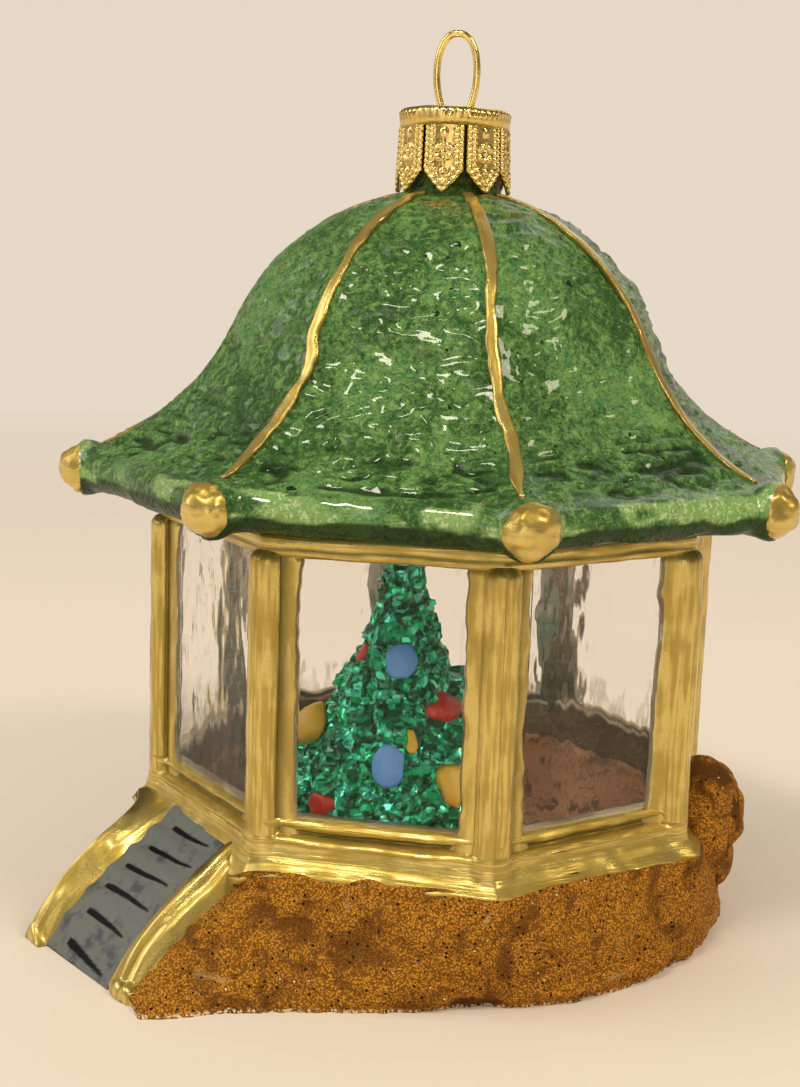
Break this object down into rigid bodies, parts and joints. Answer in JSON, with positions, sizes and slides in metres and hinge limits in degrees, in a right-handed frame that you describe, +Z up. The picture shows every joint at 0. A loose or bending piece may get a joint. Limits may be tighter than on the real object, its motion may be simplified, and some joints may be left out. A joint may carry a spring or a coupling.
{
  "type": "garden pavilion tree ornament",
  "caption": "Blown-glass hanging ornament shaped as an eight-sided garden pavilion: bell roof, glazed walls around a fir tree, sanded rock base with a stair, cap and wire loop.",
  "frame": {"origin": "on the pavilion's vertical axis, in the flat underside of the rock", "axes": "+Z up to the hanging loop, -Y out over the stair, +X to the right of someone who goes up the stair"},
  "size_m": [0.076, 0.0827, 0.0936],
  "materials": {
    "gold_metal": "thin stamped gold-coloured metal, embossed and beaded; loop of the same wire",
    "gold_paint": "opaque satin gold lacquer, brushed by hand over blown glass",
    "green_lacquer": "opaque glossy green lacquer over crinkled blown glass",
    "neck_glass": "dark green lacquered glass neck",
    "clear_glass": "clear, slightly wavy blown glass",
    "sanded_rock": "orange-brown paint on glass, coated with glittering sand and dark specks",
    "inner_brown": "reddish-brown paint seen through glass",
    "slate_paint": "matt grey-blue paint with black brush lines for the steps",
    "tree_glass": "translucent emerald glass with a crumpled, sparkling surface",
    "blue_dab": "flat blue paint",
    "red_dab": "flat red paint",
    "yellow_dab": "flat yellow paint"
  },
  "bodies": {
    "root": {"hanger_loop": "gold_metal", "crown_cap": "gold_metal", "glass_neck": "neck_glass", "roof_shell": "green_lacquer", "roof_ribs": "gold_paint", "eave_knob_1": "gold_paint", "eave_knob_2": "gold_paint", "eave_knob_3": "gold_paint", "eave_knob_4": "gold_paint", "eave_knob_5": "gold_paint", "eave_knob_6": "gold_paint", "eave_knob_7": "gold_paint", "eave_knob_8": "gold_paint", "head_rail": "gold_paint", "corner_post_1": "gold_paint", "corner_post_2": "gold_paint", "corner_post_3": "gold_paint", "corner_post_4": "gold_paint", "corner_post_5": "gold_paint", "corner_post_6": "gold_paint", "corner_post_7": "gold_paint", "corner_post_8": "gold_paint", "glass_pane_1": "clear_glass", "glass_pane_2": "clear_glass", "glass_pane_3": "clear_glass", "glass_pane_4": "clear_glass", "glass_pane_5": "clear_glass", "glass_pane_6": "clear_glass", "glass_pane_7": "clear_glass", "glass_pane_8": "clear_glass", "sill_rail": "gold_paint", "plinth_band": "gold_paint", "rock_base": "sanded_rock", "rock_boulder": "sanded_rock", "inner_mound": "inner_brown", "stair_flight": "slate_paint", "stair_wall_left": "gold_paint", "stair_wall_right": "gold_paint", "tree": "tree_glass", "baubles_blue": "blue_dab", "baubles_red": "red_dab", "baubles_yellow": "yellow_dab"}
  },
  "joints": []
}
